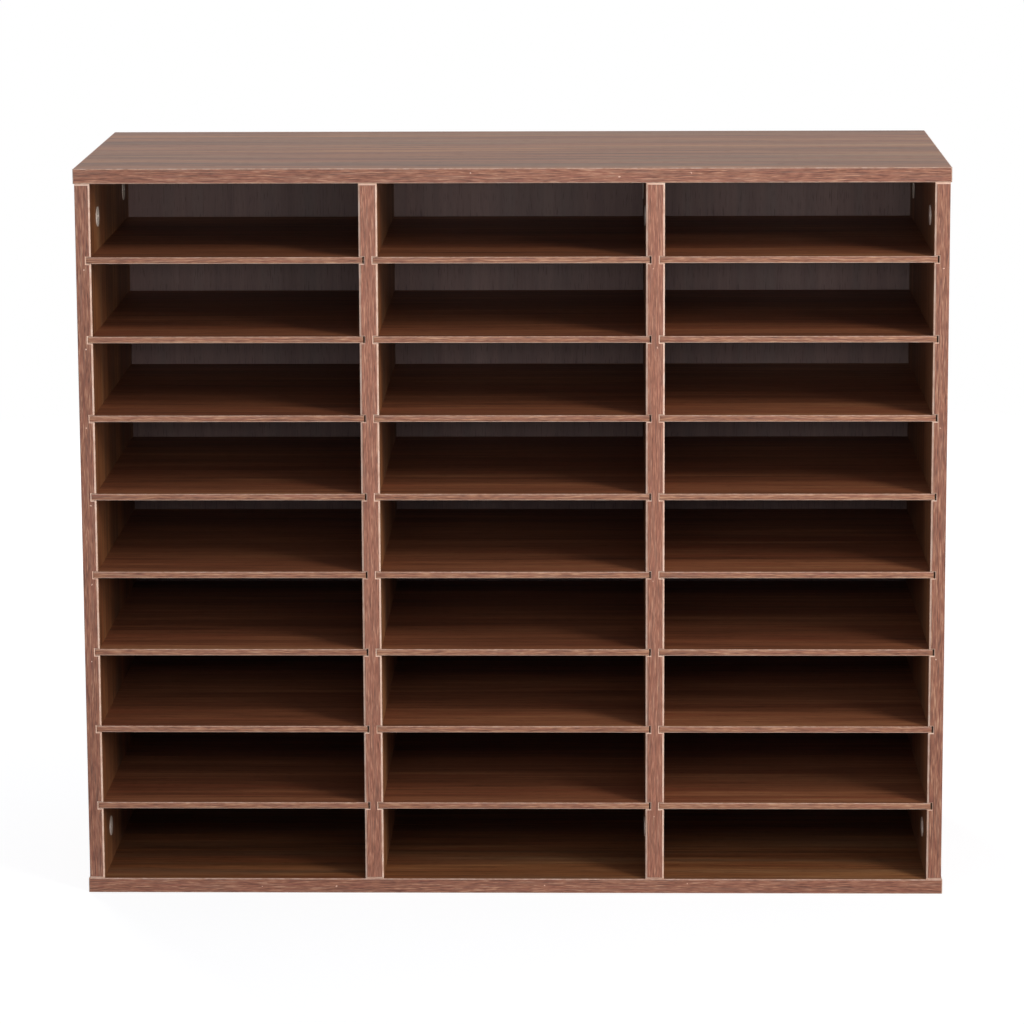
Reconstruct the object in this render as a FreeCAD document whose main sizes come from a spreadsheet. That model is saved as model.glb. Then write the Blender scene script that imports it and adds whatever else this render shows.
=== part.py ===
import FreeCAD, Part
import os
import Sketcher

# Pigeonhole mail sorter: two decks, two sides, two dividers and a back panel, joined by cam locks and
# dowels, with thin shelves that slide in grooves. X runs to the right, Y to the back and Z up. The
# origin is in the middle of the footprint, on the surface that the sorter stands on.

doc = FreeCAD.newDocument("mail_sorter")
sheet = doc.addObject("Spreadsheet::Sheet", "Sizes")

driving_sizes = {
    "overall_width": 750,  # over the end bands of the top and bottom panels
    "overall_depth": 305,
    "overall_height": 640,
    "rows": 9,  # pigeonholes in each of the three columns
    "board_thickness": 13,  # top, bottom and sides
    "divider_thickness": 16,
    "deck_overhang": 1.2,  # how far the top and bottom stand out past each side
    "shelf_thickness": 5.5,
    "groove_play": 0.5,  # a shelf groove's height over the shelf's thickness
    "groove_depth": 4.3,
    "shelf_side_play": 1.6,  # both ends of a shelf together, in the depth of its two grooves
    "shelf_shift": 0.5,  # a shelf lies this much left of centre in its grooves
    "shelf_setback": 0.5,  # a shelf's front edge behind the front of the uprights
    "shelf_back_gap": 2,
    "band_thickness": 1,
    "band_chamfer": 0.4,
    "back_thickness": 3,
    "back_inset": 18,  # rear faces of the decks and sides to the back panel
    "back_groove_depth": 5,
    "back_groove_play": 0.4,  # groove width over the back panel's thickness
    "back_edge_play": 0.5,  # at the bottom of each groove
    "divider_back_gap": 0.3,
    "front_row": 50,  # front cam locks, from the front face
    "rear_row_margin": 40,  # rear cam locks, from the back panel
    "dowel_offset": 32,  # each dowel stands this much inside its cam bolt
    "cam_distance": 34,  # middle of a cam lock to the end of its upright
    "cam_radius": 7.4,
    "cam_clearance": 0.1,
    "cam_wall": 0.6,  # metal left behind the pocket for the bolt's head
    "cam_flange_rim": 1.35,  # how far the flange stands out past the housing
    "cam_flange_thickness": 0.8,
    "cam_slot_length": 8,
    "cam_slot_width": 1.6,
    "cam_slot_depth": 2,
    "bolt_thread_radius": 3,
    "bolt_root_radius": 2.4,
    "bolt_ridges": 5,
    "bolt_collar_thickness": 1.2,
    "bolt_shank_radius": 2.9,
    "bolt_neck_radius": 2.2,
    "bolt_neck_gap": 0.9,  # the shank ends this far before the cam lock
    "bolt_head_radius": 3.2,
    "bolt_head_length": 4.6,
    "bolt_clearance": 0.2,
    "bore_clearance": 0.8,  # the bore in an upright round the bolt's head
    "dowel_radius": 2.95,
    "dowel_length": 30,
    "dowel_chamfer": 0.8,
    "deck_skin": 1.7,  # board left past the end of a hole in a deck
    "hole_clearance": 0.05,
    "hole_end_gap": 0.5,
}
for line, (alias, value) in enumerate(driving_sizes.items(), 1):
    sheet.set(f"A{line}", alias)
    sheet.set(f"B{line}", str(value))
    sheet.setAlias(f"B{line}", alias)
doc.recompute()

# Sizes worked out from the driving ones, as expressions.
upright_height = "(Sizes.overall_height - 2 * Sizes.board_thickness)"
clear_height = f"(({upright_height} - (Sizes.rows - 1) * Sizes.shelf_thickness) / Sizes.rows)"
row_pitch = f"({clear_height} + Sizes.shelf_thickness)"
sides_width = "(Sizes.overall_width - 2 * Sizes.deck_overhang)"
clear_width = f"(({sides_width} - 2 * Sizes.board_thickness - 2 * Sizes.divider_thickness) / 3)"
column_pitch = f"({clear_width} + Sizes.divider_thickness)"
groove_height = "(Sizes.shelf_thickness + Sizes.groove_play)"
back_front = "(Sizes.overall_depth - Sizes.back_inset - Sizes.back_thickness)"
divider_depth = f"({back_front} - Sizes.divider_back_gap)"
shelf_width = f"({clear_width} + 2 * Sizes.groove_depth - Sizes.shelf_side_play)"
shelf_depth = f"({back_front} - Sizes.shelf_back_gap - Sizes.shelf_setback)"
rear_row = f"({back_front} - Sizes.rear_row_margin)"
row_spacing = f"({rear_row} - Sizes.front_row)"
front_dowel_row = "(Sizes.front_row + Sizes.dowel_offset)"
rear_dowel_row = f"({rear_row} - Sizes.dowel_offset)"
cam_past_axis = "(Sizes.bolt_head_radius + Sizes.bolt_clearance + Sizes.cam_wall)"
bore_radius = "(Sizes.bolt_head_radius + Sizes.bore_clearance)"
deck_hole_depth = "(Sizes.board_thickness - Sizes.deck_skin)"
held_in_deck = f"({deck_hole_depth} - Sizes.hole_end_gap)"
dowel_in_upright = f"(Sizes.dowel_length - {held_in_deck})"
left_side_x = "(-Sizes.overall_width / 2 + Sizes.deck_overhang)"
left_divider_x = f"({left_side_x} + Sizes.board_thickness + {clear_width})"
right_divider_x = f"({left_divider_x} + {column_pitch})"
right_side_x = f"({right_divider_x} + {column_pitch})"
front_y = "(-Sizes.overall_depth / 2)"
middle_z = "(Sizes.overall_height / 2)"
upright_middles = [  # from the left end of a deck, and the same from the right end of a turned one
    "(Sizes.deck_overhang + Sizes.board_thickness / 2)",
    f"((Sizes.overall_width - {column_pitch}) / 2)",
    f"((Sizes.overall_width + {column_pitch}) / 2)",
    "(Sizes.overall_width - Sizes.deck_overhang - Sizes.board_thickness / 2)",
]
origin_point = (-1, 1)
tiny = 0.001
turned_over = FreeCAD.Rotation(FreeCAD.Vector(0, 1, 0), 180)


def number(expression):
    return float(sheet.evalExpression(expression))


def new_body(name):
    body = doc.addObject("PartDesign::Body", name)
    body.Label = name
    body.AllowCompound = True
    return body


def origin_part(body, role):
    return next(part for part in body.Origin.OriginFeatures if part.Role == role)


def new_sketch(body, name, plane, height="0"):
    """A sketch on one of the body's own planes, moved along the plane's normal by height."""
    sketch = body.newObject("Sketcher::SketchObject", f"{body.Name}_{name}")
    sketch.AttachmentSupport = [(origin_part(body, plane), "")]
    sketch.MapMode = "FlatFace"
    sketch.setExpression("AttachmentOffset.Base.z", height)
    return sketch


def bind_distance(sketch, kind, first, second, expression):
    index = sketch.addConstraint(Sketcher.Constraint(kind, *first, *second, number(expression)))
    sketch.setExpression(f"Constraints[{index}]", expression)


def add_outline(sketch, corners):
    """A closed outline of straight edges. Each corner is a pair of expressions."""
    points = [FreeCAD.Vector(number(x), number(y), 0) for x, y in corners]
    first_edge = sketch.GeometryCount
    count = len(points)
    for index, point in enumerate(points):
        sketch.addGeometry(Part.LineSegment(point, points[(index + 1) % count]))
    for index, (x, y) in enumerate(corners):
        edge = first_edge + index
        previous_edge = first_edge + (index - 1) % count
        sketch.addConstraint(Sketcher.Constraint("Coincident", previous_edge, 2, edge, 1))
        bind_distance(sketch, "DistanceX", origin_point, (edge, 1), x)
        bind_distance(sketch, "DistanceY", origin_point, (edge, 1), y)


def add_rectangle(sketch, left, low, width, height):
    right = f"({left} + {width})"
    high = f"({low} + {height})"
    add_outline(sketch, [(left, low), (right, low), (right, high), (left, high)])


def add_circle(sketch, x, y, radius):
    middle = FreeCAD.Vector(number(x), number(y), 0)
    circle = Part.Circle(middle, FreeCAD.Vector(0, 0, 1), number(radius))
    index = sketch.addGeometry(circle)
    bind_distance(sketch, "DistanceX", origin_point, (index, 3), x)
    bind_distance(sketch, "DistanceY", origin_point, (index, 3), y)
    constraint = sketch.addConstraint(Sketcher.Constraint("Radius", index, number(radius)))
    sketch.setExpression(f"Constraints[{constraint}]", radius)


def pad(body, sketch, length, backwards=False, both_ways=False):
    feature = body.newObject("PartDesign::Pad", f"{sketch.Name}_pad")
    feature.Profile = sketch
    feature.Reversed = backwards
    feature.SideType = "Symmetric" if both_ways else "One side"
    feature.setExpression("Length", length)
    doc.recompute()
    return feature


def cut(body, sketch, length=None, backwards=False):
    """A pocket, right through when no length is given. Refused where it removes nothing."""
    volume_before = body.Shape.Volume
    feature = body.newObject("PartDesign::Pocket", f"{sketch.Name}_cut")
    feature.Profile = sketch
    feature.Reversed = backwards
    if length is None:
        feature.Type = "ThroughAll"
    else:
        feature.setExpression("Length", length)
    doc.recompute()
    if body.Shape.Volume > volume_before - tiny:
        raise ValueError(f"{feature.Name} removes nothing")
    return feature


def repeat(body, features, axis, spacing, count):
    """Copies features along an axis of the body, or the whole body where features is empty."""
    pattern = body.newObject("PartDesign::LinearPattern", f"{body.Name}_pattern")
    pattern.TransformMode = "Features" if features else "Whole shape"
    pattern.Originals = features
    pattern.Direction = (origin_part(body, axis), [""])
    pattern.Mode = "Spacing"
    pattern.setExpression("Offset", spacing)
    pattern.setExpression("Occurrences", count)
    body.Tip = pattern
    doc.recompute()
    return pattern


def mirror(body, features, plane):
    """Mirrors features in a plane of the body, or the whole body where features is empty."""
    mirrored = body.newObject("PartDesign::Mirrored", f"{body.Name}_mirror")
    mirrored.TransformMode = "Features" if features else "Whole shape"
    mirrored.Originals = features
    mirrored.MirrorPlane = (origin_part(body, plane), [""])
    body.Tip = mirrored
    doc.recompute()
    return mirrored


def chamfer_edges(body, feature, size, wanted):
    """Chamfers each of the feature's edges that passes the test."""
    edges = enumerate(feature.Shape.Edges, 1)
    names = [f"Edge{index}" for index, edge in edges if wanted(edge)]
    chamfer = body.newObject("PartDesign::Chamfer", f"{feature.Name}_chamfer")
    chamfer.Base = (feature, names)
    chamfer.setExpression("Size", size)
    body.Tip = chamfer
    doc.recompute()


def is_on_front(edge):
    return all(abs(vertex.Point.y) < tiny for vertex in edge.Vertexes)


def place(item, x, y, z, turned=False):
    if turned:
        item.Placement = FreeCAD.Placement(FreeCAD.Vector(), turned_over)
    item.setExpression("Placement.Base.x", x)
    item.setExpression("Placement.Base.y", y)
    item.setExpression("Placement.Base.z", z)
    return item


# Uprights. Each is drawn with its outer face on x = 0, its front on y = 0 and its middle on z = 0, with
# the cam locks in the face towards +X. The right side and the dividers are turned over about Y.


def place_upright(item, left_face, thickness, turned):
    x = f"({left_face} + {thickness})" if turned else left_face
    return place(item, x, front_y, middle_z, turned)


def add_shelf_grooves(body, thickness, both_faces):
    sketch = new_sketch(body, "grooves", "XZ_Plane")
    low = f"(-{upright_height} / 2 + {clear_height} - Sizes.groove_play / 2)"
    inner = f"({thickness} - Sizes.groove_depth)"
    for left in (inner, "0") if both_faces else (inner,):
        add_rectangle(sketch, left, low, "Sizes.groove_depth", groove_height)
    groove = cut(body, sketch)
    repeat(body, [groove], "Z_Axis", row_pitch, "(Sizes.rows - 1)")


def make_upright(name, left_face, thickness, depth, both_faces, turned):
    body = new_body(name)
    outline = new_sketch(body, "outline", "XY_Plane")
    add_rectangle(outline, "0", "Sizes.band_thickness", thickness, f"({depth} - Sizes.band_thickness)")
    pad(body, outline, upright_height, both_ways=True)
    add_shelf_grooves(body, thickness, both_faces)

    if not both_faces:
        back_groove = new_sketch(body, "back_groove", "XY_Plane", f"({upright_height} / 2)")
        add_rectangle(
            back_groove,
            f"({thickness} - Sizes.back_groove_depth)",
            f"({back_front} - Sizes.back_groove_play / 2)",
            "Sizes.back_groove_depth",
            "(Sizes.back_thickness + Sizes.back_groove_play)",
        )
        cut(body, back_groove)

    bores = new_sketch(body, "bolt_bores", "XY_Plane", f"({upright_height} / 2)")
    dowel_holes = new_sketch(body, "dowel_holes", "XY_Plane", f"({upright_height} / 2)")
    cam_seats = new_sketch(body, "cam_seats", "YZ_Plane", thickness)
    cam_height = f"({upright_height} / 2 - Sizes.cam_distance)"
    for row in ("Sizes.front_row", rear_row):
        add_circle(bores, f"({thickness} / 2)", row, bore_radius)
        add_circle(cam_seats, row, cam_height, "(Sizes.cam_radius + Sizes.cam_clearance)")
    for row in (front_dowel_row, rear_dowel_row):
        add_circle(dowel_holes, f"({thickness} / 2)", row, "(Sizes.dowel_radius + Sizes.hole_clearance)")
    joint_cuts = [
        cut(body, bores, "Sizes.cam_distance"),
        cut(body, dowel_holes, f"({dowel_in_upright} + Sizes.hole_end_gap)"),
        cut(body, cam_seats, f"({thickness} / 2 + {cam_past_axis} + Sizes.cam_clearance)"),
    ]
    mirror(body, joint_cuts, "XY_Plane")
    return place_upright(body, left_face, thickness, turned)


def make_upright_band(name, left_face, thickness, both_faces, turned):
    body = new_body(name)
    outline = new_sketch(body, "outline", "XY_Plane")
    add_rectangle(outline, "0", "0", thickness, "Sizes.band_thickness")
    strip = pad(body, outline, upright_height, both_ways=True)
    chamfer_edges(body, strip, "Sizes.band_chamfer", is_on_front)
    add_shelf_grooves(body, thickness, both_faces)
    return place_upright(body, left_face, thickness, turned)


def make_cam_locks(name, left_face, thickness, turned):
    """Four cam locks in one upright: front and rear, near its top end and near its bottom end."""
    body = new_body(name)
    cam_height = f"({upright_height} / 2 - Sizes.cam_distance)"
    housing = new_sketch(body, "housing", "YZ_Plane", thickness)
    add_circle(housing, "Sizes.front_row", cam_height, "Sizes.cam_radius")
    pad(body, housing, f"({thickness} / 2 + {cam_past_axis})", backwards=True)
    flange = new_sketch(body, "flange", "YZ_Plane", thickness)
    add_circle(flange, "Sizes.front_row", cam_height, "(Sizes.cam_radius + Sizes.cam_flange_rim)")
    pad(body, flange, "Sizes.cam_flange_thickness")

    flange_face = f"({thickness} + Sizes.cam_flange_thickness)"
    cross = (
        ("slot_upright", "Sizes.cam_slot_width", "Sizes.cam_slot_length"),
        ("slot_level", "Sizes.cam_slot_length", "Sizes.cam_slot_width"),
    )
    for slot_name, width, height in cross:
        slot = new_sketch(body, slot_name, "YZ_Plane", flange_face)
        left = f"(Sizes.front_row - {width} / 2)"
        add_rectangle(slot, left, f"({cam_height} - {height} / 2)", width, height)
        cut(body, slot, "Sizes.cam_slot_depth")

    head_half = "(Sizes.bolt_head_length / 2 + Sizes.bolt_clearance)"
    head_pocket = new_sketch(body, "head_pocket", "XY_Plane", f"({cam_height} + {head_half})")
    head_pocket_radius = "(Sizes.bolt_head_radius + Sizes.bolt_clearance)"
    add_circle(head_pocket, f"({thickness} / 2)", "Sizes.front_row", head_pocket_radius)
    cut(body, head_pocket, f"(2 * {head_half})")
    neck_hole = new_sketch(body, "neck_hole", "XY_Plane", cam_height)
    neck_hole_radius = "(Sizes.bolt_neck_radius + Sizes.bolt_clearance)"
    add_circle(neck_hole, f"({thickness} / 2)", "Sizes.front_row", neck_hole_radius)
    cut(body, neck_hole, "(Sizes.cam_radius + Sizes.cam_clearance)", backwards=True)
    repeat(body, [], "Y_Axis", row_spacing, "2")
    mirror(body, [], "XY_Plane")
    return place_upright(body, left_face, thickness, turned)


# Decks: the bottom panel and the top panel are the same board, with its inner face on z = 0 and its left
# front corner at the origin. The top panel is turned over about Y, with the bands and fasteners it holds.


def place_deck(item, turned):
    if turned:
        z = "(Sizes.overall_height - Sizes.board_thickness)"
        return place(item, "(Sizes.overall_width / 2)", front_y, z, turned)
    return place(item, "(-Sizes.overall_width / 2)", front_y, "Sizes.board_thickness")


def make_deck(name, turned):
    body = new_body(name)
    outline = new_sketch(body, "outline", "XY_Plane")
    add_rectangle(
        outline,
        "Sizes.band_thickness",
        "Sizes.band_thickness",
        "(Sizes.overall_width - 2 * Sizes.band_thickness)",
        "(Sizes.overall_depth - Sizes.band_thickness)",
    )
    pad(body, outline, "Sizes.board_thickness", backwards=True)
    back_groove = new_sketch(body, "back_groove", "XY_Plane")
    add_rectangle(
        back_groove,
        "Sizes.band_thickness",
        f"({back_front} - Sizes.back_groove_play / 2)",
        "(Sizes.overall_width - 2 * Sizes.band_thickness)",
        "(Sizes.back_thickness + Sizes.back_groove_play)",
    )
    cut(body, back_groove, "Sizes.back_groove_depth")
    bolt_holes = new_sketch(body, "bolt_holes", "XY_Plane")
    dowel_holes = new_sketch(body, "dowel_holes", "XY_Plane")
    for middle in upright_middles:
        for row in ("Sizes.front_row", rear_row):
            add_circle(bolt_holes, middle, row, "(Sizes.bolt_thread_radius + Sizes.hole_clearance)")
        for row in (front_dowel_row, rear_dowel_row):
            add_circle(dowel_holes, middle, row, "(Sizes.dowel_radius + Sizes.hole_clearance)")
    cut(body, bolt_holes, deck_hole_depth)
    cut(body, dowel_holes, deck_hole_depth)
    return place_deck(body, turned)


def make_deck_front_band(name, turned):
    body = new_body(name)
    outline = new_sketch(body, "outline", "XY_Plane")
    add_rectangle(outline, "0", "0", "Sizes.overall_width", "Sizes.band_thickness")
    strip = pad(body, outline, "Sizes.board_thickness", backwards=True)
    chamfer_edges(body, strip, "Sizes.band_chamfer", is_on_front)
    return place_deck(body, turned)


def make_deck_end_bands(name, turned):
    body = new_body(name)
    outline = new_sketch(body, "outline", "XY_Plane")
    length = "(Sizes.overall_depth - Sizes.band_thickness)"
    for left in ("0", "(Sizes.overall_width - Sizes.band_thickness)"):
        add_rectangle(outline, left, "Sizes.band_thickness", "Sizes.band_thickness", length)
    strips = pad(body, outline, "Sizes.board_thickness", backwards=True)
    right_end = strips.Shape.BoundBox.XMax

    def is_outer_arris(edge):
        at_end = all(min(abs(v.Point.x), abs(v.Point.x - right_end)) < tiny for v in edge.Vertexes)
        return at_end and abs(edge.Length - number(length)) < tiny

    chamfer_edges(body, strips, "Sizes.band_chamfer", is_outer_arris)
    return place_deck(body, turned)


def make_cam_bolts(name, turned):
    """Eight cam bolts screwed into one deck, each with a ridged thread, a collar and a head."""
    body = new_body(name)
    ridges = int(number("Sizes.bolt_ridges"))
    ridge_pitch = f"({held_in_deck} / Sizes.bolt_ridges)"
    head_low = "(Sizes.cam_distance - Sizes.bolt_head_length / 2)"
    head_high = "(Sizes.cam_distance + Sizes.bolt_head_length / 2)"
    neck_low = "(Sizes.cam_distance - Sizes.cam_radius - Sizes.bolt_neck_gap)"
    head_slope = "(Sizes.bolt_head_radius - Sizes.bolt_neck_radius)"
    collar_radius = f"({bore_radius} - Sizes.bolt_clearance)"
    profile = [("0", f"(-{held_in_deck})")]
    for ridge in range(ridges):
        low = f"(-{held_in_deck} + {ridge} * {ridge_pitch})"
        profile.append(("Sizes.bolt_root_radius", low))
        profile.append(("Sizes.bolt_thread_radius", f"({low} + {ridge_pitch} / 2)"))
    profile += [
        ("Sizes.bolt_root_radius", "0"),
        (collar_radius, "0"),
        (collar_radius, "Sizes.bolt_collar_thickness"),
        ("Sizes.bolt_shank_radius", "Sizes.bolt_collar_thickness"),
        ("Sizes.bolt_shank_radius", neck_low),
        ("Sizes.bolt_neck_radius", neck_low),
        ("Sizes.bolt_neck_radius", head_low),
        ("Sizes.bolt_head_radius", head_low),
        ("Sizes.bolt_head_radius", f"({head_high} - {head_slope})"),
        ("Sizes.bolt_neck_radius", head_high),
        ("0", head_high),
    ]
    turn_profiles(body, profile, "Sizes.front_row")
    repeat(body, [], "Y_Axis", row_spacing, "2")
    return place_deck(body, turned)


def make_dowels(name, turned):
    """Eight dowels, each part in one deck and part in the end of an upright."""
    body = new_body(name)
    tip_radius = "(Sizes.dowel_radius - Sizes.dowel_chamfer)"
    profile = [
        ("0", f"(-{held_in_deck})"),
        (tip_radius, f"(-{held_in_deck})"),
        ("Sizes.dowel_radius", f"(Sizes.dowel_chamfer - {held_in_deck})"),
        ("Sizes.dowel_radius", f"({dowel_in_upright} - Sizes.dowel_chamfer)"),
        (tip_radius, dowel_in_upright),
        ("0", dowel_in_upright),
    ]
    turn_profiles(body, profile, front_dowel_row)
    spacing = f"({rear_dowel_row} - {front_dowel_row})"
    repeat(body, [], "Y_Axis", spacing, "2")
    return place_deck(body, turned)


def turn_profiles(body, profile, row):
    """Turns one half profile about an upright line in the middle of each of the four uprights."""
    for index, middle in enumerate(upright_middles):
        sketch = new_sketch(body, f"profile_{index + 1}", "XZ_Plane", f"(-{row})")
        sketch.setExpression("AttachmentOffset.Base.x", middle)
        add_outline(sketch, profile)
        turning = body.newObject("PartDesign::Revolution", f"{sketch.Name}_turning")
        turning.Profile = sketch
        turning.ReferenceAxis = (sketch, ["V_Axis"])
        turning.Angle = 360
        doc.recompute()


def make_back_panel(name):
    body = new_body(name)
    outline = new_sketch(body, "outline", "XY_Plane")
    in_groove = "(Sizes.back_groove_depth - Sizes.back_edge_play)"
    width = f"({sides_width} - 2 * Sizes.board_thickness + 2 * {in_groove})"
    height = f"({upright_height} + 2 * {in_groove})"
    add_rectangle(outline, "0", "0", width, "Sizes.back_thickness")
    pad(body, outline, height, both_ways=True)
    return place(body, f"(-{width} / 2)", f"({front_y} + {back_front})", middle_z)


# Shelves. One board and one band are drawn, with their left front corner at the origin, and each shelf
# is the pair of them in its own place.


def make_shelf_board():
    body = new_body("shelf_board")
    outline = new_sketch(body, "outline", "XY_Plane")
    length = f"({shelf_depth} - Sizes.band_thickness)"
    add_rectangle(outline, "0", "Sizes.band_thickness", shelf_width, length)
    pad(body, outline, "Sizes.shelf_thickness")
    return body


def make_shelf_band():
    body = new_body("shelf_band")
    outline = new_sketch(body, "outline", "XY_Plane")
    add_rectangle(outline, "0", "0", shelf_width, "Sizes.band_thickness")
    strip = pad(body, outline, "Sizes.shelf_thickness")
    chamfer_edges(body, strip, "Sizes.band_chamfer", is_on_front)
    return body


def make_shelf(name, pieces, left_face, shelves_above):
    shelf = doc.addObject("Part::Compound", name)
    shelf.Label = name
    shelf.Links = pieces
    x = f"({left_face} - Sizes.groove_depth + Sizes.shelf_side_play / 2 - Sizes.shelf_shift)"
    underside_of_top = "(Sizes.overall_height - Sizes.board_thickness)"
    z = f"({underside_of_top} - {shelves_above + 1} * {row_pitch})"
    return place(shelf, x, f"({front_y} + Sizes.shelf_setback)", z)


board = "Sizes.board_thickness"
divider = "Sizes.divider_thickness"
sub_parts = [
    make_deck("top_panel", turned=True),
    make_deck("bottom_panel", turned=False),
    make_deck_front_band("top_front_band", turned=True),
    make_deck_front_band("bottom_front_band", turned=False),
    make_deck_end_bands("top_end_bands", turned=True),
    make_deck_end_bands("bottom_end_bands", turned=False),
    make_cam_bolts("top_cam_bolts", turned=True),
    make_cam_bolts("bottom_cam_bolts", turned=False),
    make_dowels("top_dowels", turned=True),
    make_dowels("bottom_dowels", turned=False),
    make_back_panel("back_panel"),
]
uprights = (
    ("left_side", left_side_x, board, "Sizes.overall_depth", False, False),
    ("left_divider", left_divider_x, divider, divider_depth, True, True),
    ("right_divider", right_divider_x, divider, divider_depth, True, True),
    ("right_side", right_side_x, board, "Sizes.overall_depth", False, True),
)
for name, left_face, thickness, depth, both_faces, turned in uprights:
    sub_parts.append(make_upright(name, left_face, thickness, depth, both_faces, turned))
    sub_parts.append(make_upright_band(f"{name}_front_band", left_face, thickness, both_faces, turned))
    sub_parts.append(make_cam_locks(f"{name}_cam_locks", left_face, thickness, turned))

shelf_pieces = [make_shelf_board(), make_shelf_band()]
columns = (
    ("left", f"({left_side_x} + {board})"),
    ("middle", f"({left_divider_x} + {divider})"),
    ("right", f"({right_divider_x} + {divider})"),
)
for column, left_face in columns:
    for shelves_above in range(int(number("Sizes.rows")) - 1):
        name = f"{column}_shelf_{shelves_above + 1}"
        sub_parts.append(make_shelf(name, shelf_pieces, left_face, shelves_above))

doc.recompute()
for item in doc.Objects:
    if "Invalid" in item.State or "Error" in item.State:
        raise ValueError(f"{item.Label} failed: {item.State}")
for item in sub_parts:
    if item.Shape.isNull() or not item.Shape.isValid():
        raise ValueError(f"{item.Label} has no valid shape")

os.makedirs("parts", exist_ok=True)
for item in sub_parts:
    item.Shape.exportStep(f"parts/{item.Label}.step")
print(f"{len(sub_parts)} sub-parts written")
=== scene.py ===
import math

import bmesh
import bpy
from mathutils import Matrix, Vector


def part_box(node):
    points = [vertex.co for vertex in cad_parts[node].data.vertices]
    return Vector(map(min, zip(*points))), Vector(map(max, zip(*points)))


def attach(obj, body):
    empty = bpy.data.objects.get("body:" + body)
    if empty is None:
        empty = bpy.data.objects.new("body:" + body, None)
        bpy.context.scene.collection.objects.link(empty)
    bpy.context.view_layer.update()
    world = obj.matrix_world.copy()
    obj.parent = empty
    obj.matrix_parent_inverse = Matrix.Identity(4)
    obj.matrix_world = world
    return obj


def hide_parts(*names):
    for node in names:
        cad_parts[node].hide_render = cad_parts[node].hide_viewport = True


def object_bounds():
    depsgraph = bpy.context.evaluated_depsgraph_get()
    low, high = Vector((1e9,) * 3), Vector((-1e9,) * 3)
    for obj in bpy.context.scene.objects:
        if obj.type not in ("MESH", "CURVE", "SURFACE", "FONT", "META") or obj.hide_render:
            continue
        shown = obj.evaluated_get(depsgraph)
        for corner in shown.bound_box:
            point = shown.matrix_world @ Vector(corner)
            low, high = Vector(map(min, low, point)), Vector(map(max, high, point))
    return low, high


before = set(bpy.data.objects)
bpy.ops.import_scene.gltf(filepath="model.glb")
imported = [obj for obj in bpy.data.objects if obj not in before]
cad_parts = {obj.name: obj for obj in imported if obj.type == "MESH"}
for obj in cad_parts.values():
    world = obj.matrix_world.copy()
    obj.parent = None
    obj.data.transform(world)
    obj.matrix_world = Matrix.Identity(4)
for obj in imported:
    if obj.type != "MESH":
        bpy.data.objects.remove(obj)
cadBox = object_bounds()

# Looks of the pigeonhole mail sorter. Sizes in the dictionaries are millimetres unless a note says
# otherwise, and mm turns them into Blender's metres. X runs right, Y back and Z up, as in the frame.
mm = 0.001
scene = bpy.context.scene
decks = ("top", "bottom")
uprights = ("left_side", "left_divider", "right_divider", "right_side")
shelfNodes = sorted(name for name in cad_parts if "_shelf_" in name)


def linear(hexColour):  # an sRGB hex colour as linear RGBA
    parts = [int(hexColour[i:i + 2], 16) / 255 for i in (1, 3, 5)]
    return [p / 12.92 if p <= 0.04045 else ((p + 0.055) / 1.055) ** 2.4 for p in parts] + [1.0]


def socketOf(sockets, key):  # found by its identifier, or else by its name
    for socket in sockets:
        if socket.identifier == key:
            return socket
    return sockets[key]


def addNode(tree, kind, settings=None, links=None):
    # settings are properties of the node or plain input values, and links name each input's source
    node = tree.nodes.new(kind)
    for key, value in (settings or {}).items():
        if key == "stops":  # a colour ramp's (place, colour) pairs
            elements = node.color_ramp.elements
            while len(elements) < len(value):
                elements.new(0.5)
            for element, (place, colour) in zip(elements, value):
                element.position = place
                element.color = linear(colour)
        elif hasattr(node, key):
            setattr(node, key, value)
        else:
            socketOf(node.inputs, key).default_value = value
    for key, source in (links or {}).items():
        tree.links.new(source, socketOf(node.inputs, key))
    return node


def newMaterial(name):
    material = bpy.data.materials.new(name)
    material.use_nodes = True
    tree = material.node_tree
    tree.nodes.clear()
    output = addNode(tree, "ShaderNodeOutputMaterial")
    place = addNode(tree, "ShaderNodeTexCoord").outputs["Object"]
    return material, tree, output, place


# The print on the boards. A layer is length along the grain, width across it, detail, wander and its
# share of the tone. A tint is length, width, where it starts, where it is full, its colour and strength.
foilPrint = {
    "layers": {
        "figure": (900, 46, 2.0, 0.6, 0.42),
        "streak": (260, 7.5, 3.0, 0.5, 0.36),
        "fibre": (60, 2.2, 2.0, 0.2, 0.22),
    },
    "tones": [(0.36, "#462612"), (0.46, "#714427"), (0.54, "#8d5935"), (0.66, "#b98253")],
    "tints": {
        "grey": (480, 19, 0.48, 0.66, "#7a5e45", 0.5),
        "red": (300, 11, 0.52, 0.70, "#834026", 0.4),
    },
    "tintDetail": 3.0,
    "tintWander": 0.4,
    "tintShift": 3.7,  # moves the noise of each tint off the others', in streaks
    "poreLength": 14,
    "poreWidth": 0.9,  # real pores are 0.3 mm wide; drawn wide enough to show
    "poreStart": 0.60,  # of the noise's full height, as the next is
    "poreFull": 0.72,
    "poreTone": "#3d2112",
    "poreShare": 0.5,
    "poreDepth": 0.03,
    "poreEmboss": 0.5,
    "roughness": 0.54,
    "poreDullness": 0.14,
}


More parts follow.
